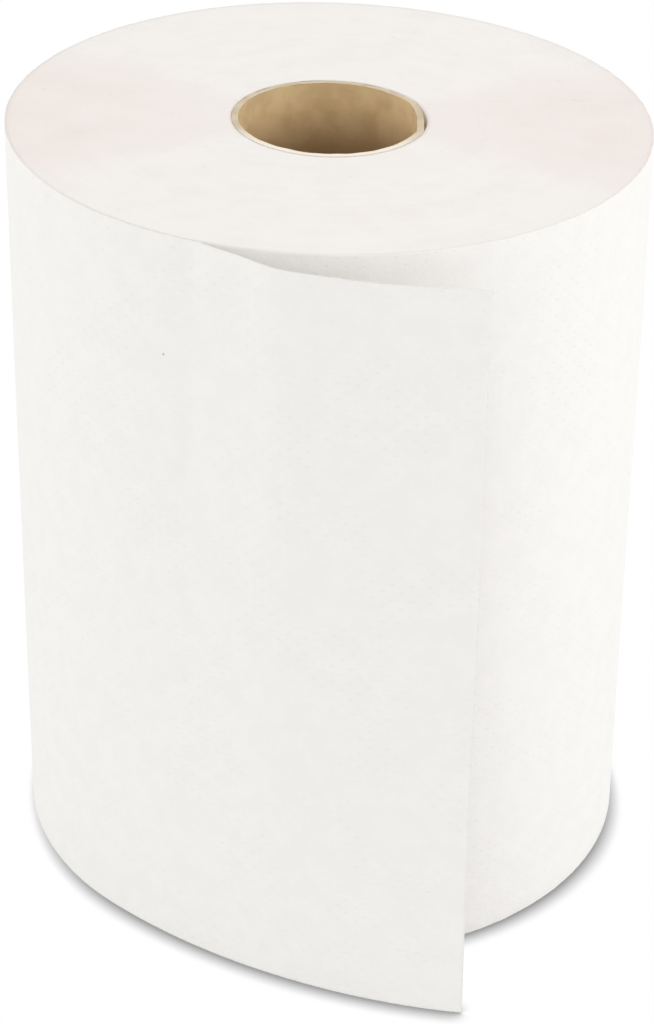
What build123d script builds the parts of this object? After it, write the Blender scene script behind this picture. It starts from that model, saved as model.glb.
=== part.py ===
from build123d import *
import os
from math import acos, atan2, cos, degrees, radians, sin

# A hard-wound paper towel roll that stands on its end. Millimetres, +Z up.
# The roll's axis is Z and its lower end face lies on z = 0. The web's loose end
# leaves the roll at the front left, curls away from it and ends at the front right.
# Front is -Y. Angles are degrees anticlockwise from +X, seen from above.

# Driving dimensions
web_width = 203.0  # the width the log was sawn to, which is the height of the roll
roll_radius = 82.1
core_outer_radius = 24.9  # the first turn is wound tight on the core
core_wall = 1.8
sheet_thickness = 0.2  # one ply lying free, with its embossing
loose_end_angle = 226.0  # where the web leaves the roll
loose_end_curl_radius = 170.0  # outer face of the loose end, flatter than the roll
loose_end_length = 106.0  # along its outer face, from where it leaves the roll


def point_at(radius, angle, centre=Vector(0, 0)):
    """The point at a radius and an angle about a centre."""
    return centre + Vector(radius * cos(radians(angle)), radius * sin(radians(angle)))


def web_outline():
    """Plan of the wound web: the roll, and the loose end tangent to it."""
    inner_radius = loose_end_curl_radius - sheet_thickness
    offset = loose_end_curl_radius - roll_radius
    curl_centre = point_at(-offset, loose_end_angle)
    sweep = degrees(loose_end_length / loose_end_curl_radius)

    # The gap opens where the sheet's inner face has risen to the roll's surface
    cos_root = (inner_radius**2 - roll_radius**2 - offset**2) / (2 * roll_radius * offset)
    root = degrees(acos(cos_root))
    root_from_curl = degrees(
        atan2(roll_radius * sin(radians(root)), roll_radius * cos_root + offset)
    )

    end_angle = loose_end_angle + sweep
    roll_surface = CenterArc((0, 0), roll_radius, loose_end_angle + root, 360 - root)
    outer_face = CenterArc(curl_centre, loose_end_curl_radius, loose_end_angle, sweep)
    inner_face = CenterArc(
        curl_centre, inner_radius, loose_end_angle + root_from_curl, sweep - root_from_curl
    )
    cut_edge = Line(
        point_at(loose_end_curl_radius, end_angle, curl_centre),
        point_at(inner_radius, end_angle, curl_centre),
    )
    return [roll_surface, outer_face, cut_edge, inner_face]


def make_towel_roll():
    """All turns of the web and its loose end, as the one strip that they are."""
    section = make_face(web_outline()) - Circle(core_outer_radius)
    return extrude(section, web_width)


def make_core_tube():
    """Wound chipboard tube, sawn off flush with the paper at both ends."""
    section = Circle(core_outer_radius) - Circle(core_outer_radius - core_wall)
    return extrude(section, web_width)


os.makedirs("parts", exist_ok=True)
for node, shape in {"towel_roll": make_towel_roll(), "core_tube": make_core_tube()}.items():
    export_step(shape, f"parts/{node}.step")
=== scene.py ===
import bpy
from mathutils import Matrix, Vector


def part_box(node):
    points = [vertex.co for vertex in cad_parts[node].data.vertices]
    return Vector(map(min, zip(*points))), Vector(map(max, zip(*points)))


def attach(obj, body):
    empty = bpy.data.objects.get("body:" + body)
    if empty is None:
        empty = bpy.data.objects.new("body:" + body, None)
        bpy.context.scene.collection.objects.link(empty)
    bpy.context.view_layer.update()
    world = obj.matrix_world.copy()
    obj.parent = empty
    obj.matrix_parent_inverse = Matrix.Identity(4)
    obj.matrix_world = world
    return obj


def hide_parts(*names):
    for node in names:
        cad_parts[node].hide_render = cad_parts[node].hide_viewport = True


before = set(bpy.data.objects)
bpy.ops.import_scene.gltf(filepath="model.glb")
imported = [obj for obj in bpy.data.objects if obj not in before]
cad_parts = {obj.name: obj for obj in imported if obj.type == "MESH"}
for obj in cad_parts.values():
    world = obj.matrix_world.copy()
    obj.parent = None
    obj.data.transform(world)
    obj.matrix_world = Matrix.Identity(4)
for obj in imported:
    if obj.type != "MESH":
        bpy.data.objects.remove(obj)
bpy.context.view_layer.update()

import math
import bpy
from mathutils import Matrix, Vector, noise

# A hard-wound paper towel roll on its kraft core, standing on its end. Metres, +Z up.
# The loose end leaves the roll at the front left and ends at the front right.

mm = 0.001


def smoothStep(low, high, value):
    t = min(max((value - low) / (high - low), 0.0), 1.0)
    return t * t * (3.0 - 2.0 * t)


def srgb(red, green, blue):
    parts = []
    for value in (red, green, blue):
        c = value / 255.0
        parts.append(c / 12.92 if c <= 0.04045 else ((c + 0.055) / 1.055) ** 2.4)
    return (*parts, 1.0)


def addNode(tree, kind, settings=None, **inputs):
    # inputs are named by the socket's place, as in i0=..., and take a socket or a plain value
    node = tree.nodes.new(kind)
    for name, value in (settings or {}).items():
        setattr(node, name, value)
    for key, value in inputs.items():
        socket = node.inputs[int(key[1:])]
        if isinstance(value, bpy.types.NodeSocket):
            tree.links.new(value, socket)
        else:
            socket.default_value = value
    return node


def mathNode(tree, operation, a, b=0.0, c=0.0, clamp=False):
    settings = {"operation": operation, "use_clamp": clamp}
    return addNode(tree, "ShaderNodeMath", settings, i0=a, i1=b, i2=c).outputs[0]


def vectorNode(tree, operation, a, b=(0.0, 0.0, 0.0)):
    node = addNode(tree, "ShaderNodeVectorMath", {"operation": operation}, i0=a, i1=b)
    return node.outputs["Value"] if operation in ("LENGTH", "DOT_PRODUCT") else node.outputs["Vector"]


def rangeNode(tree, value, fromLow, fromHigh, toLow=0.0, toHigh=1.0, smooth=True):
    kind = "SMOOTHSTEP" if smooth else "LINEAR"
    settings = {"interpolation_type": kind}
    node = addNode(tree, "ShaderNodeMapRange", settings,
                   i0=value, i1=fromLow, i2=fromHigh, i3=toLow, i4=toHigh)
    return node.outputs[0]


def noiseNode(tree, vector, scale, detail=2.0, roughness=0.5):
    node = tree.nodes.new("ShaderNodeTexNoise")
    tree.links.new(vector, node.inputs["Vector"])
    node.inputs["Scale"].default_value = scale
    node.inputs["Detail"].default_value = detail
    node.inputs["Roughness"].default_value = roughness
    return node.outputs["Fac"]


def mixColour(tree, factor, a, b):
    node = addNode(tree, "ShaderNodeMix", {"data_type": "RGBA"})
    for socket, value in ((node.inputs[0], factor), (node.inputs[6], a), (node.inputs[7], b)):
        if isinstance(value, bpy.types.NodeSocket):
            tree.links.new(value, socket)
        else:
            socket.default_value = value
    return node.outputs[2]


def newGroup(name, inputs, outputs):
    tree = bpy.data.node_groups.new(name, "ShaderNodeTree")
    for label, kind, value in inputs:
        socket = tree.interface.new_socket(label, in_out="INPUT", socket_type=kind)
        if value is not None:
            socket.default_value = value
    for label, kind in outputs:
        tree.interface.new_socket(label, in_out="OUTPUT", socket_type=kind)
    return tree, tree.nodes.new("NodeGroupInput"), tree.nodes.new("NodeGroupOutput")


def useGroup(tree, group, links, **values):
    node = tree.nodes.new("ShaderNodeGroup")
    node.node_tree = group
    for label, socket in links.items():
        tree.links.new(socket, node.inputs[label])
    for label, value in values.items():
        node.inputs[label].default_value = value
    return node.outputs


def makeFibreGroup():
    # Matted pulp: a mottle for the colour and a fine height for the bump.
    inputs = [("Vector", "NodeSocketVector", None), ("Size", "NodeSocketFloat", 0.001),
              ("Stretch", "NodeSocketFloat", 3.0)]
    outputs = [("Mottle", "NodeSocketFloat"), ("Height", "NodeSocketFloat")]
    tree, source, result = newGroup("pulpFibre", inputs, outputs)
    perSize = mathNode(tree, "DIVIDE", 1.0, source.outputs["Size"])
    squeezed = mathNode(tree, "DIVIDE", perSize, source.outputs["Stretch"])
    scale = addNode(tree, "ShaderNodeCombineXYZ", None, i0=squeezed, i1=squeezed, i2=perSize)
    stretched = vectorNode(tree, "MULTIPLY", source.outputs["Vector"], scale.outputs[0])
    across = noiseNode(tree, stretched, 1.0, 3.0, 0.6)
    even = addNode(tree, "ShaderNodeCombineXYZ", None, i0=perSize, i1=perSize, i2=perSize)
    plain = vectorNode(tree, "MULTIPLY", source.outputs["Vector"], even.outputs[0])
    grain = noiseNode(tree, plain, 0.6, 4.0, 0.6)
    tree.links.new(mathNode(tree, "MULTIPLY_ADD", across, 0.5, mathNode(tree, "MULTIPLY", grain, 0.5)),
                   result.inputs["Height"])
    tree.links.new(noiseNode(tree, plain, 0.07, 3.0, 0.55), result.inputs["Mottle"])
    return tree


def makeSpeckGroup():
    # Rare dark bits of recycled fibre, as a mask.
    inputs = [("Vector", "NodeSocketVector", None), ("Spacing", "NodeSocketFloat", 0.02),
              ("Radius", "NodeSocketFloat", 0.0003)]
    tree, source, result = newGroup("fibreSpecks", inputs, [("Mask", "NodeSocketFloat")])
    spacing = source.outputs["Spacing"]
    perSpacing = mathNode(tree, "DIVIDE", 1.0, spacing)
    scale = addNode(tree, "ShaderNodeCombineXYZ", None, i0=perSpacing, i1=perSpacing, i2=perSpacing)
    cells = vectorNode(tree, "MULTIPLY", source.outputs["Vector"], scale.outputs[0])
    voronoi = tree.nodes.new("ShaderNodeTexVoronoi")
    tree.links.new(cells, voronoi.inputs["Vector"])
    voronoi.inputs["Scale"].default_value = 1.0
    distance = mathNode(tree, "MULTIPLY", voronoi.outputs["Distance"], spacing)
    radius = source.outputs["Radius"]
    inner = mathNode(tree, "MULTIPLY", radius, 0.5)
    mask = addNode(tree, "ShaderNodeMapRange", {"interpolation_type": "SMOOTHSTEP"},
                   i0=distance, i1=inner, i2=radius, i3=1.0, i4=0.0)
    tree.links.new(mask.outputs[0], result.inputs["Mask"])
    return tree


fibreGroup = makeFibreGroup()
speckGroup = makeSpeckGroup()
print("shader groups made")


def newMaterial(name, roughness, sheen=0.0):
    material = bpy.data.materials.new(name)
    material.use_nodes = True
    shader = material.node_tree.nodes["Principled BSDF"]
    shader.inputs["Roughness"].default_value = roughness
    shader.inputs["Specular IOR Level"].default_value = 0.25
    shader.inputs["Sheen Weight"].default_value = sheen
    return material, material.node_tree, shader


def addBump(tree, shader, height, distance, strength=1.0):
    bump = tree.nodes.new("ShaderNodeBump")
    bump.inputs["Distance"].default_value = distance
    bump.inputs["Strength"].default_value = strength
    tree.links.new(height, bump.inputs["Height"])
    tree.links.new(bump.outputs["Normal"], shader.inputs["Normal"])


sheetFinish = {
    "paper": srgb(250, 248, 245),
    "paperShade": srgb(248, 246, 243),
    "speck": srgb(176, 166, 152),
    "pitAcross": 0.85 * mm,
    "pitUp": 0.42 * mm,
    "latticeAcross": 4.7 * mm,
    "latticeUp": 4.3 * mm,
    "pitDepth": 0.11 * mm,
    # the colour and strength of the painted shade in the emboss pits
    "pitShadeColour": srgb(232, 229, 225),
    "pitShadeTone": 0.10,
    "latticeWander": 1.6 * mm,
    "fibreSize": 0.45 * mm,
    "fibreStretch": 2.2,
    "speckSpacing": 31.0 * mm,
    "speckRadius": 0.42 * mm,
}


def latticeMask(tree, cell, shift, finish):
    # 1 at the middle of each pit of a square lattice that is moved by half a cell or not
    moved = vectorNode(tree, "ADD", cell, (shift, shift, 0.0))
    wrapped = vectorNode(tree, "FRACTION", moved)
    centred = vectorNode(tree, "SUBTRACT", wrapped, (0.5, 0.5, 0.0))
    toPits = (finish["latticeAcross"] / finish["pitAcross"], finish["latticeUp"] / finish["pitUp"], 0.0)
    distance = vectorNode(tree, "LENGTH", vectorNode(tree, "MULTIPLY", centred, toPits))
    return rangeNode(tree, distance, 0.35, 1.0, 1.0, 0.0)


def makeSheetMaterial(finish):
    material, tree, shader = newMaterial("embossedTowelSheet", 0.92, 0.12)
    sheet = addNode(tree, "ShaderNodeUVMap", {"uv_map": "sheetMap"}).outputs[0]
    place = tree.nodes.new("ShaderNodeTexCoord").outputs["Object"]
    # The pits sit on a diamond lattice that wanders a little with the stretch of the web.
    wander = addNode(tree, "ShaderNodeTexNoise", None, i0=sheet, i2=60.0).outputs["Color"]
    offset = vectorNode(tree, "MULTIPLY", vectorNode(tree, "SUBTRACT", wander, (0.5, 0.5, 0.5)),
                        (finish["latticeWander"], finish["latticeWander"], 0.0))
    bent = vectorNode(tree, "ADD", sheet, offset)
    cell = vectorNode(tree, "MULTIPLY", bent,
                      (1.0 / finish["latticeAcross"], 1.0 / finish["latticeUp"], 0.0))
    pits = mathNode(tree, "MAXIMUM", latticeMask(tree, cell, 0.0, finish),
                    latticeMask(tree, cell, 0.5, finish))
    worn = rangeNode(tree, noiseNode(tree, sheet, 45.0, 3.0), 0.38, 0.62, 0.25, 1.0)
    pits = mathNode(tree, "MULTIPLY", pits, worn)
    fibre = useGroup(tree, fibreGroup, {"Vector": place}, Size=finish["fibreSize"],
                     Stretch=finish["fibreStretch"])
    specks = useGroup(tree, speckGroup, {"Vector": place}, Spacing=finish["speckSpacing"],
                      Radius=finish["speckRadius"])
    shade = rangeNode(tree, fibre["Mottle"], 0.35, 0.65, 0.0, 1.0)
    colour = mixColour(tree, shade, finish["paper"], finish["paperShade"])
    # Painted shade darkens the pits.
    pitShadeTone = mathNode(tree, "MULTIPLY", pits, finish["pitShadeTone"])
    colour = mixColour(tree, pitShadeTone, colour, finish["pitShadeColour"])
    colour = mixColour(tree, mathNode(tree, "MULTIPLY", specks["Mask"], 0.7), colour, finish["speck"])
    tree.links.new(colour, shader.inputs["Base Color"])
    pitHeight = mathNode(tree, "MULTIPLY", pits, -0.55)
    height = mathNode(tree, "ADD", fibre["Height"], pitHeight)
    addBump(tree, shader, height, finish["pitDepth"])
    return material


sawnFinish = {
    "paper": srgb(245, 241, 237),
    "paperShade": srgb(240, 235, 231),
    # the colour of the painted shade in the two side sectors
    "paintedSectorShade": srgb(239, 228, 222),
    "streak": srgb(196, 184, 174),
    "turnBand": 0.9 * mm,
    "turnWobble": 0.9 * mm,
    "ringHeight": 0.07 * mm,
    "paintedSectorStrength": 0.85,
    "sectorNear": 28.0 * mm,
    "sectorFar": 70.0 * mm,
    "fibreSize": 0.6 * mm,
    "speckSpacing": 19.0 * mm,
    "speckRadius": 0.32 * mm,
}


def makeSawnMaterial(finish):
    material, tree, shader = newMaterial("sawnTowelEnds", 0.95, 0.1)
    place = tree.nodes.new("ShaderNodeTexCoord").outputs["Object"]
    flat = vectorNode(tree, "MULTIPLY", place, (1.0, 1.0, 0.0))
    radius = vectorNode(tree, "LENGTH", flat)
    parts = addNode(tree, "ShaderNodeSeparateXYZ", None, i0=place).outputs
    sideways = mathNode(tree, "DIVIDE", mathNode(tree, "ABSOLUTE", parts[0]),
                        mathNode(tree, "MAXIMUM", radius, 0.001))
    # Turns: noise that runs with the radius and hardly changes round the roll.
    wobble = noiseNode(tree, place, 22.0, 2.0)
    wound = mathNode(tree, "MULTIPLY_ADD", wobble, finish["turnWobble"], radius)
    turnPlace = addNode(tree, "ShaderNodeCombineXYZ", None,
                        i0=mathNode(tree, "DIVIDE", wound, finish["turnBand"]),
                        i1=mathNode(tree, "MULTIPLY", sideways, 3.0)).outputs[0]
    rings = noiseNode(tree, turnPlace, 1.0, 4.0, 0.62)
    broad = noiseNode(tree, turnPlace, 0.13, 2.0)
    # Painted shade: two darker, pinker sectors, left and right of the core, widen to the rim.
    sector = rangeNode(tree, sideways, 0.80, 0.985)
    grown = rangeNode(tree, radius, finish["sectorNear"], finish["sectorFar"], 0.55, 1.0)
    patchy = rangeNode(tree, noiseNode(tree, place, 55.0, 3.0), 0.3, 0.7, 0.6, 1.0)
    shadedSectors = mathNode(tree, "MULTIPLY", mathNode(tree, "MULTIPLY", sector, grown), patchy)
    # Streaks: short fine marks along X, thickest in the sectors.
    streakPlace = vectorNode(tree, "MULTIPLY", place, (38.0, 1100.0, 10.0))
    streaks = rangeNode(tree, noiseNode(tree, streakPlace, 1.0, 2.0), 0.67, 0.78)
    streakShare = mathNode(tree, "MULTIPLY_ADD", shadedSectors, 0.30, 0.02)
    streaks = mathNode(tree, "MULTIPLY", streaks, streakShare)
    fibre = useGroup(tree, fibreGroup, {"Vector": place}, Size=finish["fibreSize"], Stretch=1.0)
    specks = useGroup(tree, speckGroup, {"Vector": place}, Spacing=finish["speckSpacing"],
                      Radius=finish["speckRadius"])
    blend = mathNode(tree, "MULTIPLY_ADD", rings, 0.75, mathNode(tree, "MULTIPLY", broad, 0.5))
    shade = mathNode(tree, "MULTIPLY", rangeNode(tree, blend, 0.42, 0.85), 0.45)
    blotch = rangeNode(tree, fibre["Mottle"], 0.40, 0.70, 0.0, 0.45)
    shade = mathNode(tree, "ADD", shade, blotch, clamp=True)
    colour = mixColour(tree, shade, finish["paper"], finish["paperShade"])
    # The two side sectors get their painted shade here.
    sectorShading = mathNode(tree, "MULTIPLY", shadedSectors, finish["paintedSectorStrength"])
    colour = mixColour(tree, sectorShading, colour, finish["paintedSectorShade"])
    colour = mixColour(tree, streaks, colour, finish["streak"])
    colour = mixColour(tree, mathNode(tree, "MULTIPLY", specks["Mask"], 0.6), colour, finish["streak"])
    tree.links.new(colour, shader.inputs["Base Color"])
    height = mathNode(tree, "MULTIPLY_ADD", fibre["Height"], 0.5, rings)
    addBump(tree, shader, height, finish["ringHeight"], 0.8)
    return material


boardFinish = {
    "kraft": srgb(240, 212, 164),
    "kraftShade": srgb(208, 178, 132),
    "kraftDeep": srgb(143, 111, 80),
    "seam": srgb(150, 120, 84),
    "rimPale": srgb(252, 243, 229),
    "rimTan": srgb(206, 190, 162),
    "speck": srgb(96, 70, 48),
    "plyWidth": 62.0 * mm,
    "deepFrom": 200.0 * mm,
    "deepTo": 176.0 * mm,
    "fibreSize": 0.5 * mm,
    "rimFibreSize": 0.4 * mm,
    "speckSpacing": 9.0 * mm,
    "speckRadius": 0.38 * mm,
    "grainHeight": 0.08 * mm,
    "rimGrainHeight": 0.15 * mm,
}


def makeBoardMaterial(finish):
    material, tree, shader = newMaterial("kraftCoreBoard", 0.85)
    place = tree.nodes.new("ShaderNodeTexCoord").outputs["Object"]
    sheet = addNode(tree, "ShaderNodeUVMap", {"uv_map": "boardMap"}).outputs[0]
    fibre = useGroup(tree, fibreGroup, {"Vector": place}, Size=finish["fibreSize"], Stretch=1.6)
    specks = useGroup(tree, speckGroup, {"Vector": place}, Spacing=finish["speckSpacing"],
                      Radius=finish["speckRadius"])
    shade = rangeNode(tree, fibre["Mottle"], 0.34, 0.68)
    colour = mixColour(tree, mathNode(tree, "MULTIPLY", shade, 0.55), finish["kraft"], finish["kraftShade"])
    # The board darkens down the bore, which stands in for light that falls off faster.
    upTube = addNode(tree, "ShaderNodeSeparateXYZ", None, i0=place).outputs[2]
    deep = rangeNode(tree, upTube, finish["deepFrom"], finish["deepTo"], 0.0, 0.95)
    colour = mixColour(tree, deep, colour, finish["kraftDeep"])
    # The spiral joint of the inner ply: the map is sheared, so the seam is a thin line in it.
    along = addNode(tree, "ShaderNodeSeparateXYZ", None, i0=sheet).outputs[0]
    turn = mathNode(tree, "FRACT", mathNode(tree, "DIVIDE", along, finish["plyWidth"]))
    fromSeam = mathNode(tree, "ABSOLUTE", mathNode(tree, "SUBTRACT", turn, 0.5))
    seam = rangeNode(tree, fromSeam, 0.004, 0.012, 1.0, 0.0)
    colour = mixColour(tree, mathNode(tree, "MULTIPLY", seam, 0.55), colour, finish["seam"])
    colour = mixColour(tree, mathNode(tree, "MULTIPLY", specks["Mask"], 0.6), colour, finish["speck"])
    tree.links.new(colour, shader.inputs["Base Color"])
    height = mathNode(tree, "MULTIPLY_ADD", seam, -1.0, fibre["Height"])
    addBump(tree, shader, height, finish["grainHeight"])
    return material


def makeRimMaterial(finish):
    material, tree, shader = newMaterial("cutBoardRim", 0.9)
    place = tree.nodes.new("ShaderNodeTexCoord").outputs["Object"]
    parts = addNode(tree, "ShaderNodeSeparateXYZ", None, i0=place).outputs
    fibre = useGroup(tree, fibreGroup, {"Vector": place}, Size=finish["rimFibreSize"], Stretch=1.0)
    flat = vectorNode(tree, "MULTIPLY", place, (1.0, 1.0, 0.0))
    radius = vectorNode(tree, "LENGTH", flat)
    # The cut is pale at the front and tan at the back.
    towardsFront = rangeNode(tree, parts[1], -4.0 * mm, -20.0 * mm)
    tone = mixColour(tree, towardsFront, finish["rimTan"], finish["rimPale"])
    plyPlace = addNode(tree, "ShaderNodeCombineXYZ", None, i0=radius).outputs[0]
    plies = rangeNode(tree, noiseNode(tree, plyPlace, 2600.0, 1.0), 0.45, 0.7)
    tone = mixColour(tree, mathNode(tree, "MULTIPLY", plies, 0.4), tone, finish["kraftShade"])
    mottle = rangeNode(tree, fibre["Mottle"], 0.35, 0.65)
    tone = mixColour(tree, mathNode(tree, "MULTIPLY", mottle, 0.25), tone, finish["rimPale"])
    tree.links.new(tone, shader.inputs["Base Color"])
    addBump(tree, shader, fibre["Height"], finish["rimGrainHeight"])
    return material


sheetMaterial = makeSheetMaterial(sheetFinish)
sawnMaterial = makeSawnMaterial(sawnFinish)
boardMaterial = makeBoardMaterial(boardFinish)
rimMaterial = makeRimMaterial(boardFinish)
print("materials made")


def meshObject(name, points, faces, mapName, mapPlaces, attributes=None):
    mesh = bpy.data.meshes.new(name)
    mesh.from_pydata(points, [], faces)
    uvLayer = mesh.uv_layers.new(name=mapName)
    corners = [0] * len(mesh.loops)
    mesh.loops.foreach_get("vertex_index", corners)
    uvLayer.data.foreach_set("uv", [value for vertex in corners for value in mapPlaces[vertex]])
    for label, values in (attributes or {}).items():
        layer = mesh.attributes.new(label, "FLOAT", "POINT")
        layer.data.foreach_set("value", values)
    mesh.validate()
    piece = bpy.data.objects.new(name, mesh)
    bpy.context.scene.collection.objects.link(piece)
    return piece


def splinePoint(points, place):
    # A point on a smooth line through the points; place counts the points from 0.
    last = len(points) - 1
    index = min(int(place), last - 1)
    t = place - index
    p1 = points[index]
    p2 = points[index + 1]
    p0 = points[index - 1] if index else p1 * 2.0 - p2
    p3 = points[index + 2] if index + 2 <= last else p2 * 2.0 - p1
    return 0.5 * (2.0 * p1 + (p2 - p0) * t + (2.0 * p0 - 5.0 * p1 + 4.0 * p2 - p3) * t * t
                  + (3.0 * p1 - p0 - 3.0 * p2 + p3) * t ** 3)


def evenLine(points, count=400):
    # The same line, as a function of the distance along it.
    fine = [splinePoint(points, (len(points) - 1) * i / count) for i in range(count + 1)]
    gone = [0.0]
    for a, b in zip(fine, fine[1:]):
        gone.append(gone[-1] + (b - a).length)

    def at(distance):
        distance = min(max(distance, 0.0), gone[-1])
        low, high = 0, count
        while high - low > 1:
            middle = (low + high) // 2
            if gone[middle] <= distance:
                low = middle
            else:
                high = middle
        span = gone[high] - gone[low]
        return fine[low].lerp(fine[high], (distance - gone[low]) / span if span else 0.0)

    return at


# The upper end leans a little: its lift in the middle, and per metre along x and y.
sawnSkew = {"middle": -0.45 * mm, "alongX": -0.015, "alongY": 0.0}


def skewLift(spot, rise):
    return rise * (sawnSkew["middle"] + sawnSkew["alongX"] * spot.x + sawnSkew["alongY"] * spot.y)


rollShape = {
    "rollRadius": 82.1 * mm,
    "boreRadius": 24.9 * mm,
    "height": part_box("towel_roll")[1].z,
    "sheetThickness": 0.2 * mm,
    "looseEndAngle": math.radians(226.0),
    "looseEndCurl": 170.0 * mm,
    "looseEndLength": 106.0 * mm,
    "topLeavesAngle": math.radians(247.0),
    "topLeadTurn": 0.12,  # the stretch before that, over which the upper edge starts its own line
    "twist": 1.25,  # above 1 keeps the foot's line for longer up the sheet
    "flutter": 0.35 * mm,
    "flutterStart": 50.0 * mm,
    "flutterUp": 9.0,
    "flutterAlong": 24.0,
    "clearOfRoll": 0.02 * mm,
    "partedAt": 1.05,  # the gap at which the sheet has left the roll, in its own thickness
    # The upper edge of the loose end from where it leaves the roll, in plan, millimetres.
    "topEdge": [(-27.0, -79.3), (-21.0, -83.4), (-11.5, -90.4), (0.6, -94.2), (12.4, -97.0),
                (23.5, -98.2), (30.5, -98.6), (37.6, -98.9)],
    "wallRows": 44,
    "rollColumns": 300,
    "heldColumns": 26,
    "freeColumns": 96,
    "columnCrowding": 1.3,  # above 1 packs the columns towards the parting line
    "endRings": 46,
    "headingReach": 0.3 * mm,  # how far each way the sheet's heading is read
    "rimBevel": 0.35 * mm,
    "rimTaper": 0.14 * mm,
    "swell": 0.22 * mm,
    "swellScale": (14.0, 14.0, 9.0),
    "shrink": 0.04 * mm,
    "ragged": 0.13 * mm,
    "raggedScale": (420.0, 420.0, 60.0),
    "trueColumns": 20.0,  # columns beside the loose end over which the roll stays true
    "innerMapShift": 0.5,  # keeps the pits of the sheet's inner face apart from the outer ones
}


def plan(radius, angle, centre=Vector((0.0, 0.0))):
    return centre + Vector((radius * math.cos(angle), radius * math.sin(angle)))


def makeFootLine(shape):
    # The foot is one arc that leaves the roll along its tangent.
    root = plan(shape["rollRadius"], shape["looseEndAngle"])
    centre = plan(shape["rollRadius"] - shape["looseEndCurl"], shape["looseEndAngle"])
    start = math.atan2(root.y - centre.y, root.x - centre.x)

    def at(distance):
        return plan(shape["looseEndCurl"], start + distance / shape["looseEndCurl"], centre)

    return at


def makeTopLine(shape):
    # The top stays on the roll for longer, then stands off it with a small pucker.
    radius = shape["rollRadius"]
    held = (shape["topLeavesAngle"] - shape["looseEndAngle"]) * radius
    leadTurn = shape["topLeadTurn"]
    before = [plan(radius, shape["topLeavesAngle"] - turn) for turn in (leadTurn, leadTurn / 2.0, 0.0)]
    edge = before + [Vector(point) * mm for point in shape["topEdge"]]
    lead = leadTurn * radius
    line = evenLine(edge)

    def at(distance):
        if distance < held - lead:
            return plan(radius, shape["looseEndAngle"] + distance / radius)
        return line(distance - held + lead)

    return at


footLine = makeFootLine(rollShape)
topLine = makeTopLine(rollShape)


def looseEndPlan(distance, rise):
    # Outer face of the loose end at this distance along it; rise is 0 at the foot and 1 at the top.
    shape = rollShape
    spot = footLine(distance).lerp(topLine(distance), rise ** shape["twist"])
    flutter = shape["flutter"] * smoothStep(shape["flutterStart"], shape["looseEndLength"], distance)
    wave = math.sin(shape["flutterUp"] * rise + shape["flutterAlong"] * distance)
    spot = spot + spot.normalized() * flutter * wave
    nearest = shape["rollRadius"] + shape["clearOfRoll"]
    return spot if spot.length > nearest else spot.normalized() * nearest


def standOff(distance, rise):
    return looseEndPlan(distance, rise).length - rollShape["rollRadius"]


def splitDistance(rise):
    # Where the loose end has parted from the roll by the sheet's thickness.
    low, high = 1.0 * mm, 60.0 * mm
    for _ in range(30):
        middle = (low + high) / 2.0
        if standOff(middle, rise) > rollShape["sheetThickness"] * rollShape["partedAt"]:
            high = middle
        else:
            low = middle
    return high


def outlineAt(rise):
    # One closed plan outline: the roll anticlockwise from the parting line, the outer face, the inner.
    shape = rollShape
    split = splitDistance(rise)
    length = shape["looseEndLength"]
    outer = []
    for i in range(shape["heldColumns"] + 1):
        distance = split * i / shape["heldColumns"]
        spot = looseEndPlan(distance, rise)
        lift = shape["sheetThickness"] * smoothStep(0.0, 1.0, i / shape["heldColumns"])
        reach = max(spot.length, shape["rollRadius"] + lift)
        outer.append((spot.normalized() * reach, distance))
    for i in range(1, shape["freeColumns"] + 1):
        share = i / shape["freeColumns"]
        distance = split + (length - split) * share ** shape["columnCrowding"]
        outer.append((looseEndPlan(distance, rise), distance))
    parting = outer[shape["heldColumns"]][0]
    startAngle = math.atan2(parting.y, parting.x) % math.tau
    sweep = shape["looseEndAngle"] + math.tau - startAngle
    roll = []
    for i in range(shape["rollColumns"]):
        angle = startAngle + sweep * i / shape["rollColumns"]
        wound = (angle - shape["looseEndAngle"] - math.tau) * shape["rollRadius"]
        roll.append((plan(shape["rollRadius"], angle), wound))
    inner = []
    for i in range(shape["heldColumns"] + 1, len(outer)):
        spot, distance = outer[i]
        reach = shape["headingReach"]
        ahead = looseEndPlan(distance + reach, rise) - looseEndPlan(distance - reach, rise)
        if ahead.length < 1e-7:
            ahead = spot - outer[i - 1][0]
        inward = Vector((-ahead.y, ahead.x)).normalized() * shape["sheetThickness"]
        inner.append((spot + inward, distance))
    return roll, outer, inner


def outOfTrue(spot, z, index, count, atEdge):
    # The log is not quite round: a slow swell and, at the sawn rims, a ragged last turn.
    shape = rollShape
    place = Vector((spot.x, spot.y, z))
    swell = noise.noise(place * Vector(shape["swellScale"])) * shape["swell"]
    change = swell - shape["shrink"]
    if atEdge:
        ragged = noise.noise(place * Vector(shape["raggedScale"])) * shape["ragged"]
        change += ragged - shape["rimTaper"]
    kept = shape["trueColumns"]
    away = smoothStep(0.0, kept, index) * smoothStep(0.0, kept, count - index)
    return spot.normalized() * (spot.length + change * away)


def addPoint(parts, spot, z, rise, mapPlace, mark):
    # The mark is 1 on the upper sawn end, -1 on the lower one and 0 on the wall.
    parts["points"].append((spot.x, spot.y, z + skewLift(spot, rise)))
    parts["mapPlaces"].append(mapPlace)
    parts["marks"].append(mark)
    return len(parts["points"]) - 1


def addFace(parts, corners, isTop):
    parts["faces"].append(corners if isTop else corners[::-1])


def addWallRow(parts, rise):
    shape = rollShape
    roll, outer, inner = outlineAt(rise)
    z = rise * shape["height"]
    atEdge = rise in (0.0, 1.0)
    row = []
    for index, (spot, distance) in enumerate(roll):
        spot = outOfTrue(spot, z, index, len(roll), atEdge)
        row.append(addPoint(parts, spot, z, rise, (distance, z), 0.0))
    for spot, distance in outer:
        row.append(addPoint(parts, spot, z, rise, (distance, z), 0.0))
    for spot, distance in reversed(inner):
        mapPlace = (distance + shape["innerMapShift"], z)
        row.append(addPoint(parts, spot, z, rise, mapPlace, 0.0))
    return row


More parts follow.
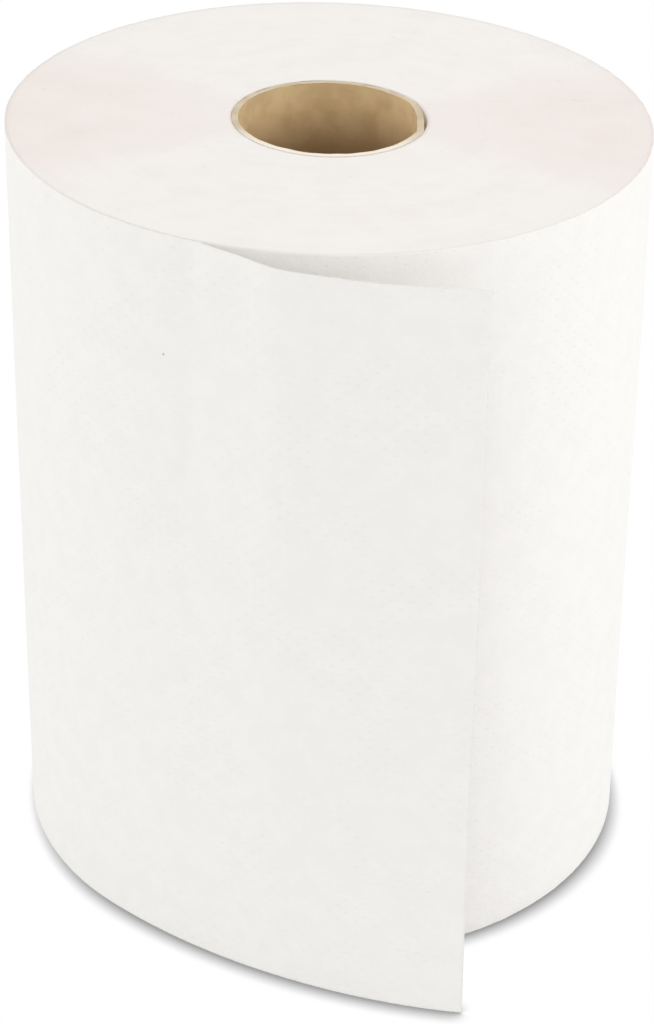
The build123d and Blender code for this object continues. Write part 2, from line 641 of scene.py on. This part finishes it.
def addSawnEnd(parts, rim, isTop):
    # Rings from the outline of the turns in to the bore; the last ring is returned.
    shape = rollShape
    z = shape["height"] if isTop else 0.0
    mark = 1.0 if isTop else -1.0
    turnsRim = rim[:shape["rollColumns"] + shape["heldColumns"] + 1]
    previous = turnsRim
    for ring in range(1, shape["endRings"] + 1):
        share = ring / shape["endRings"]
        current = []
        for index in turnsRim[:-1]:
            edge = Vector(parts["points"][index][:2])
            spot = edge.normalized() * (edge.length + (shape["boreRadius"] - edge.length) * share)
            current.append(addPoint(parts, spot, z, float(isTop), (spot.x, spot.y), mark))
        for i in range(len(current)):
            j = (i + 1) % len(current)
            following = previous[(i + 1) % len(previous)]
            addFace(parts, (previous[i], following, current[j], current[i]), isTop)
        if ring == 1:
            # At the parting line the sheet's thickness closes to one point of the first ring.
            addFace(parts, (previous[-1], previous[0], current[0]), isTop)
        previous = current
    return previous


def addSheetEdge(parts, rim, isTop):
    # The thin end of the loose sheet, from the parting line to its cut edge.
    free = rollShape["freeColumns"]
    heldEnd = rollShape["rollColumns"] + rollShape["heldColumns"]
    outerEdge = rim[heldEnd:heldEnd + free + 1]
    innerEdge = [rim[0]] + list(reversed(rim[heldEnd + free + 1:]))
    for i in range(free):
        addFace(parts, (outerEdge[i], outerEdge[i + 1], innerEdge[i + 1], innerEdge[i]), isTop)


def joinRows(parts, lower, upper):
    count = len(lower)
    for i in range(count):
        j = (i + 1) % count
        parts["faces"].append((lower[i], lower[j], upper[j], upper[i]))


def makeTowelRoll(shape):
    bevelShare = shape["rimBevel"] / shape["height"]
    rises = [i / shape["wallRows"] for i in range(1, shape["wallRows"])]
    rises = [0.0, bevelShare, *rises, 1.0 - bevelShare, 1.0]
    parts = {"points": [], "mapPlaces": [], "marks": [], "faces": []}
    rows = [addWallRow(parts, rise) for rise in rises]
    for lower, upper in zip(rows, rows[1:]):
        joinRows(parts, lower, upper)
    boreRings = []
    for rim, isTop in ((rows[0], False), (rows[-1], True)):
        boreRings.append(addSawnEnd(parts, rim, isTop))
        addSheetEdge(parts, rim, isTop)
    joinRows(parts, boreRings[1], boreRings[0])
    return meshObject("towelRoll", parts["points"], parts["faces"], "sheetMap", parts["mapPlaces"],
                      {"sawnEnd": parts["marks"]})


def geometryTree(name, inputs):
    tree = bpy.data.node_groups.new(name, "GeometryNodeTree")
    tree.interface.new_socket("Geometry", in_out="INPUT", socket_type="NodeSocketGeometry")
    for label, kind, value in inputs:
        socket = tree.interface.new_socket(label, in_out="INPUT", socket_type=kind)
        if value is not None:
            socket.default_value = value
    tree.interface.new_socket("Geometry", in_out="OUTPUT", socket_type="NodeSocketGeometry")
    return tree, tree.nodes.new("NodeGroupInput"), tree.nodes.new("NodeGroupOutput")


def applyTree(base, tree, values, name):
    # Runs the tree on base and returns a new object with the plain mesh.
    modifier = base.modifiers.new(tree.name, "NODES")
    modifier.node_group = tree
    for socket in tree.interface.items_tree:
        if socket.item_type == "SOCKET" and socket.in_out == "INPUT" and socket.name in values:
            modifier[socket.identifier] = values[socket.name]
    depsgraph = bpy.context.evaluated_depsgraph_get()
    mesh = bpy.data.meshes.new_from_object(base.evaluated_get(depsgraph))
    base.modifiers.remove(modifier)
    mesh.name = name
    piece = bpy.data.objects.new(name, mesh)
    bpy.context.scene.collection.objects.link(piece)
    return piece


def makeTurnsTree():
    inputs = [("Turn Band", "NodeSocketFloat", 2.2 * mm), ("Relief", "NodeSocketFloat", 0.15 * mm),
              ("Fine Relief", "NodeSocketFloat", 0.05 * mm), ("Wall Paper", "NodeSocketMaterial", None),
              ("Sawn Paper", "NodeSocketMaterial", None)]
    tree, source, result = geometryTree("woundTurns", inputs)
    mark = addNode(tree, "GeometryNodeInputNamedAttribute", {"data_type": "FLOAT"})
    mark.inputs["Name"].default_value = "sawnEnd"
    place = tree.nodes.new("GeometryNodeInputPosition").outputs[0]
    radius = vectorNode(tree, "LENGTH", vectorNode(tree, "MULTIPLY", place, (1.0, 1.0, 0.0)))
    slow = noiseNode(tree, place, 18.0, 1.0)
    wound = mathNode(tree, "MULTIPLY_ADD", slow, 2.0 * mm, radius)
    bands = mathNode(tree, "DIVIDE", wound, source.outputs["Turn Band"])
    bandPlace = addNode(tree, "ShaderNodeCombineXYZ", None, i0=bands).outputs[0]
    wave = noiseNode(tree, bandPlace, 1.0, 1.0)
    fine = noiseNode(tree, bandPlace, 3.1, 1.0)
    depth = mathNode(tree, "MULTIPLY", wave, source.outputs["Relief"])
    depth = mathNode(tree, "MULTIPLY_ADD", fine, source.outputs["Fine Relief"], depth)
    signed = mathNode(tree, "MULTIPLY", mathNode(tree, "MULTIPLY", depth, -1.0), mark.outputs[0])
    offset = addNode(tree, "ShaderNodeCombineXYZ", None, i2=signed).outputs[0]
    moved = tree.nodes.new("GeometryNodeSetPosition")
    tree.links.new(source.outputs["Geometry"], moved.inputs["Geometry"])
    tree.links.new(offset, moved.inputs["Offset"])
    realized = tree.nodes.new("GeometryNodeRealizeInstances")
    tree.links.new(moved.outputs[0], realized.inputs[0])
    wall = tree.nodes.new("GeometryNodeSetMaterial")
    tree.links.new(realized.outputs[0], wall.inputs["Geometry"])
    tree.links.new(source.outputs["Wall Paper"], wall.inputs["Material"])
    sawn = tree.nodes.new("GeometryNodeSetMaterial")
    onEnd = addNode(tree, "FunctionNodeCompare", {"data_type": "FLOAT", "operation": "GREATER_THAN"},
                    i0=mathNode(tree, "ABSOLUTE", mark.outputs[0]), i1=0.2)
    tree.links.new(wall.outputs[0], sawn.inputs["Geometry"])
    tree.links.new(onEnd.outputs[0], sawn.inputs["Selection"])
    tree.links.new(source.outputs["Sawn Paper"], sawn.inputs["Material"])
    tree.links.new(sawn.outputs[0], result.inputs["Geometry"])
    return tree


def makeLintTree():
    inputs = [("Density", "NodeSocketFloat", 9000.0), ("Length", "NodeSocketFloat", 0.9 * mm),
              ("Thickness", "NodeSocketFloat", 0.035 * mm), ("Seed", "NodeSocketInt", 7),
              ("Paper", "NodeSocketMaterial", None)]
    tree, source, result = geometryTree("sawnLint", inputs)
    up = tree.nodes.new("GeometryNodeInputNormal").outputs[0]
    upPart = addNode(tree, "ShaderNodeSeparateXYZ", None, i0=up).outputs[2]
    facing = addNode(tree, "FunctionNodeCompare", {"data_type": "FLOAT", "operation": "GREATER_THAN"},
                     i0=upPart, i1=0.9)
    spots = tree.nodes.new("GeometryNodeDistributePointsOnFaces")
    tree.links.new(source.outputs["Geometry"], spots.inputs["Mesh"])
    tree.links.new(facing.outputs[0], spots.inputs["Selection"])
    tree.links.new(source.outputs["Density"], spots.inputs["Density"])
    tree.links.new(source.outputs["Seed"], spots.inputs["Seed"])
    arc = tree.nodes.new("GeometryNodeCurveArc")
    arc.inputs["Resolution"].default_value = 5
    arc.inputs["Sweep Angle"].default_value = 1.9
    tree.links.new(mathNode(tree, "MULTIPLY", source.outputs["Length"], 0.5), arc.inputs["Radius"])
    profile = tree.nodes.new("GeometryNodeCurvePrimitiveCircle")
    profile.inputs["Resolution"].default_value = 4
    tree.links.new(source.outputs["Thickness"], profile.inputs["Radius"])
    fibre = tree.nodes.new("GeometryNodeCurveToMesh")
    tree.links.new(arc.outputs["Curve"], fibre.inputs["Curve"])
    tree.links.new(profile.outputs["Curve"], fibre.inputs["Profile Curve"])
    fibre.inputs["Fill Caps"].default_value = True
    turn = addNode(tree, "FunctionNodeRandomValue", {"data_type": "FLOAT_VECTOR"})
    turn.inputs[0].default_value = (-0.35, -0.35, 0.0)
    turn.inputs[1].default_value = (0.35, 0.35, math.tau)
    tree.links.new(source.outputs["Seed"], turn.inputs["Seed"])
    size = addNode(tree, "FunctionNodeRandomValue", {"data_type": "FLOAT"})
    size.inputs[2].default_value = 0.35
    size.inputs[3].default_value = 1.2
    tree.links.new(source.outputs["Seed"], size.inputs["Seed"])
    placed = tree.nodes.new("GeometryNodeInstanceOnPoints")
    tree.links.new(spots.outputs["Points"], placed.inputs["Points"])
    tree.links.new(fibre.outputs["Mesh"], placed.inputs["Instance"])
    tree.links.new(turn.outputs[0], placed.inputs["Rotation"])
    tree.links.new(size.outputs[1], placed.inputs["Scale"])
    realized = tree.nodes.new("GeometryNodeRealizeInstances")
    tree.links.new(placed.outputs[0], realized.inputs[0])
    paper = tree.nodes.new("GeometryNodeSetMaterial")
    tree.links.new(realized.outputs[0], paper.inputs["Geometry"])
    tree.links.new(source.outputs["Paper"], paper.inputs["Material"])
    tree.links.new(paper.outputs[0], result.inputs["Geometry"])
    return tree


turnValues = {
    "Turn Band": 2.6 * mm,
    "Relief": 0.22 * mm,
    "Fine Relief": 0.08 * mm,
    "Wall Paper": sheetMaterial,
    "Sawn Paper": sawnMaterial,
}
lintValues = {
    "Density": 16000.0,
    "Length": 0.9 * mm,
    "Thickness": 0.03 * mm,
    "Seed": 11,
    "Paper": sawnMaterial,
}

rollBase = makeTowelRoll(rollShape)
towelRoll = applyTree(rollBase, makeTurnsTree(), turnValues, "towelRoll")
bpy.data.objects.remove(rollBase)
towelRoll.name = "towelRoll"
towelRoll.data.shade_smooth()
print("towel roll made", len(towelRoll.data.polygons), "faces")

paperLint = applyTree(towelRoll, makeLintTree(), lintValues, "paperLint")
print("lint made", len(paperLint.data.polygons), "faces")


coreShape = {
    "outerRadius": rollShape["boreRadius"],
    "wall": 1.8 * mm,
    "height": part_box("core_tube")[1].z,
    "columns": 240,
    "rows": 90,
    "rowCrowding": 1.7,  # above 1 packs the rows towards the upper mouth
    "plyAcross": 0.62,
    "plyUp": 0.79,
    "dentFade": 13.0 * mm,
    "rimDrop": 0.15 * mm,
    # How far the mouth stands off its true radius, by angle in degrees; negative is pushed in.
    "mouth": [(-48.0, 0.0), (-30.0, -0.1), (-19.0, 0.15), (-12.0, -0.45), (-5.0, -0.95), (8.0, -0.8),
              (22.0, -0.3), (29.0, 0.3), (34.0, 0.25), (50.0, 0.0)],
}


def mouthOffset(angle):
    degreesRound = (math.degrees(angle) + 180.0) % 360.0 - 180.0
    spots = coreShape["mouth"]
    if not spots[0][0] < degreesRound < spots[-1][0]:
        return 0.0
    for (a, offsetA), (b, offsetB) in zip(spots, spots[1:]):
        if a <= degreesRound <= b:
            return (offsetA + (offsetB - offsetA) * smoothStep(a, b, degreesRound)) * mm
    return 0.0


def makeCoreTube(shape):
    points = []
    mapPlaces = []
    faces = []
    innerRadius = shape["outerRadius"] - shape["wall"]
    rowShares = [(i / shape["rows"]) ** shape["rowCrowding"] for i in range(shape["rows"] + 1)]
    depths = [shape["height"] * share for share in rowShares]
    rings = []
    for depth in reversed(depths):
        rings.append((shape["outerRadius"], depth, 0.0))
    for depth in depths:
        rings.append((innerRadius, depth, 0.3))
    for radius, depth, side in rings:
        z = shape["height"] - depth
        fade = math.exp(-depth / shape["dentFade"])
        for i in range(shape["columns"]):
            angle = math.tau * i / shape["columns"]
            spot = plan(radius + mouthOffset(angle) * fade, angle)
            drop = 0.0
            if depth == 0.0:
                drop = shape["rimDrop"] * (1.0 + noise.noise(Vector((spot.x, spot.y, side)) * 260.0))
            points.append((spot.x, spot.y, z - drop + skewLift(spot, z / shape["height"])))
            # The map runs along the spiral wind of the ply.
            around = angle * radius
            mapPlaces.append((around * shape["plyAcross"] + z * shape["plyUp"],
                              z * shape["plyAcross"] - around * shape["plyUp"]))
    count = shape["columns"]
    total = len(rings)
    for k in range(total):
        following = (k + 1) % total
        for i in range(count):
            j = (i + 1) % count
            faces.append((k * count + i, k * count + j, following * count + j, following * count + i))
    piece = meshObject("coreTube", points, faces, "boardMap", mapPlaces)
    piece.data.materials.append(boardMaterial)
    piece.data.materials.append(rimMaterial)
    rimRows = (shape["rows"], total - 1)
    for polygon in piece.data.polygons:
        polygon.material_index = int(polygon.index // count in rimRows)
        polygon.use_smooth = polygon.index // count not in rimRows
    return piece


coreTube = makeCoreTube(coreShape)
print("core tube made", len(coreTube.data.polygons), "faces")


stageLook = {
    "floorSize": 6.0,
    "floorColour": srgb(244, 244, 244),
    "shadowReach": 6.5 * mm,
    "worldStrength": 0.905,
    "leftLamp": {"power": 1.6, "size": 0.9, "place": (-1.2, 0.1, 0.6)},
    "rightLamp": {"power": 2.5, "size": 0.9, "place": (1.1, -0.25, 0.75)},
    "lampTarget": (0.0, 0.0, 0.12),
    "cameraPlace": (0.000594, -0.73172, 0.50649),
    "cameraDown": 29.81,  # degrees below level
    "cameraRoll": 0.70,
    "cameraLens": 109.06,
}


def makeFloor(look):
    half = look["floorSize"] / 2.0
    mesh = bpy.data.meshes.new("floor")
    corners = [(-half, -half, 0.0), (half, -half, 0.0), (half, half, 0.0), (-half, half, 0.0)]
    mesh.from_pydata(corners, [], [(0, 1, 2, 3)])
    floor = bpy.data.objects.new("floor", mesh)
    bpy.context.scene.collection.objects.link(floor)
    material = bpy.data.materials.new("paleFloor")
    material.use_nodes = True
    tree = material.node_tree
    tree.nodes.clear()
    plain = tree.nodes.new("ShaderNodeBsdfDiffuse")
    plain.inputs["Color"].default_value = look["floorColour"]
    near = tree.nodes.new("ShaderNodeAmbientOcclusion")
    near.samples = 24
    near.inputs["Distance"].default_value = look["shadowReach"]
    place = tree.nodes.new("ShaderNodeTexCoord").outputs["Object"]
    forward = vectorNode(tree, "DOT_PRODUCT", place, (0.2, -0.98, 0.0))
    # The contact shadow is thinner and lighter at the left and the back.
    fullyOpen = rangeNode(tree, forward, -16.0 * mm, 60.0 * mm, 0.62, 0.95)
    dark = rangeNode(tree, near.outputs["AO"], 0.5, fullyOpen, 0.0, 1.0, smooth=False)
    deepest = rangeNode(tree, forward, -16.0 * mm, 60.0 * mm, 0.78, 0.30)
    level = mathNode(tree, "MULTIPLY_ADD", dark, mathNode(tree, "SUBTRACT", 1.0, deepest), deepest)
    colour = addNode(tree, "ShaderNodeCombineColor", None, i0=level, i1=level, i2=level).outputs[0]
    glow = tree.nodes.new("ShaderNodeEmission")
    tree.links.new(colour, glow.inputs["Color"])
    path = tree.nodes.new("ShaderNodeLightPath")
    seen = mathNode(tree, "MAXIMUM", path.outputs["Is Camera Ray"], path.outputs["Is Glossy Ray"])
    seen = mathNode(tree, "MAXIMUM", seen, path.outputs["Is Transmission Ray"])
    mix = tree.nodes.new("ShaderNodeMixShader")
    tree.links.new(seen, mix.inputs[0])
    tree.links.new(plain.outputs[0], mix.inputs[1])
    tree.links.new(glow.outputs[0], mix.inputs[2])
    output = tree.nodes.new("ShaderNodeOutputMaterial")
    tree.links.new(mix.outputs[0], output.inputs["Surface"])
    mesh.materials.append(material)
    return floor


def makeWorld(look):
    world = bpy.data.worlds.new("whiteStudio")
    bpy.context.scene.world = world
    world.use_nodes = True
    tree = world.node_tree
    background = tree.nodes["Background"]
    background.inputs["Color"].default_value = (1.0, 1.0, 1.0, 1.0)
    path = tree.nodes.new("ShaderNodeLightPath")
    seen = mathNode(tree, "MAXIMUM", path.outputs["Is Camera Ray"], path.outputs["Is Glossy Ray"])
    seen = mathNode(tree, "MAXIMUM", seen, path.outputs["Is Transmission Ray"])
    strength = rangeNode(tree, seen, 0.0, 1.0, look["worldStrength"], 1.0, smooth=False)
    tree.links.new(strength, background.inputs["Strength"])


def addLamp(name, look):
    lamp = bpy.data.lights.new(name, "AREA")
    lamp.energy = look[name]["power"]
    lamp.shape = "DISK"
    lamp.size = look[name]["size"]
    holder = bpy.data.objects.new(name, lamp)
    holder.location = look[name]["place"]
    aim = Vector(look["lampTarget"]) - holder.location
    holder.rotation_euler = aim.to_track_quat("-Z", "Y").to_euler()
    bpy.context.scene.collection.objects.link(holder)


def addCamera(look):
    camera = bpy.data.cameras.new("camera")
    camera.lens = look["cameraLens"]
    camera.sensor_width = 36.0
    camera.clip_start = 0.01
    holder = bpy.data.objects.new("camera", camera)
    stand = Matrix.Translation(look["cameraPlace"])
    tilt = Matrix.Rotation(math.radians(90.0 - look["cameraDown"]), 4, "X")
    roll = Matrix.Rotation(math.radians(look["cameraRoll"]), 4, "Z")
    holder.matrix_world = stand @ tilt @ roll
    bpy.context.scene.collection.objects.link(holder)
    bpy.context.scene.camera = holder


floor = makeFloor(stageLook)
makeWorld(stageLook)
for lampName in ("rightLamp", "leftLamp"):
    addLamp(lampName, stageLook)
addCamera(stageLook)
bpy.context.scene.view_settings.view_transform = "Standard"
print("stage made")


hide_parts("towel_roll")
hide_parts("core_tube")
for piece, slotName in ((towelRoll, "white_paper"), (paperLint, "white_paper"), (coreTube, "kraft_board")):
    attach(piece, "root")
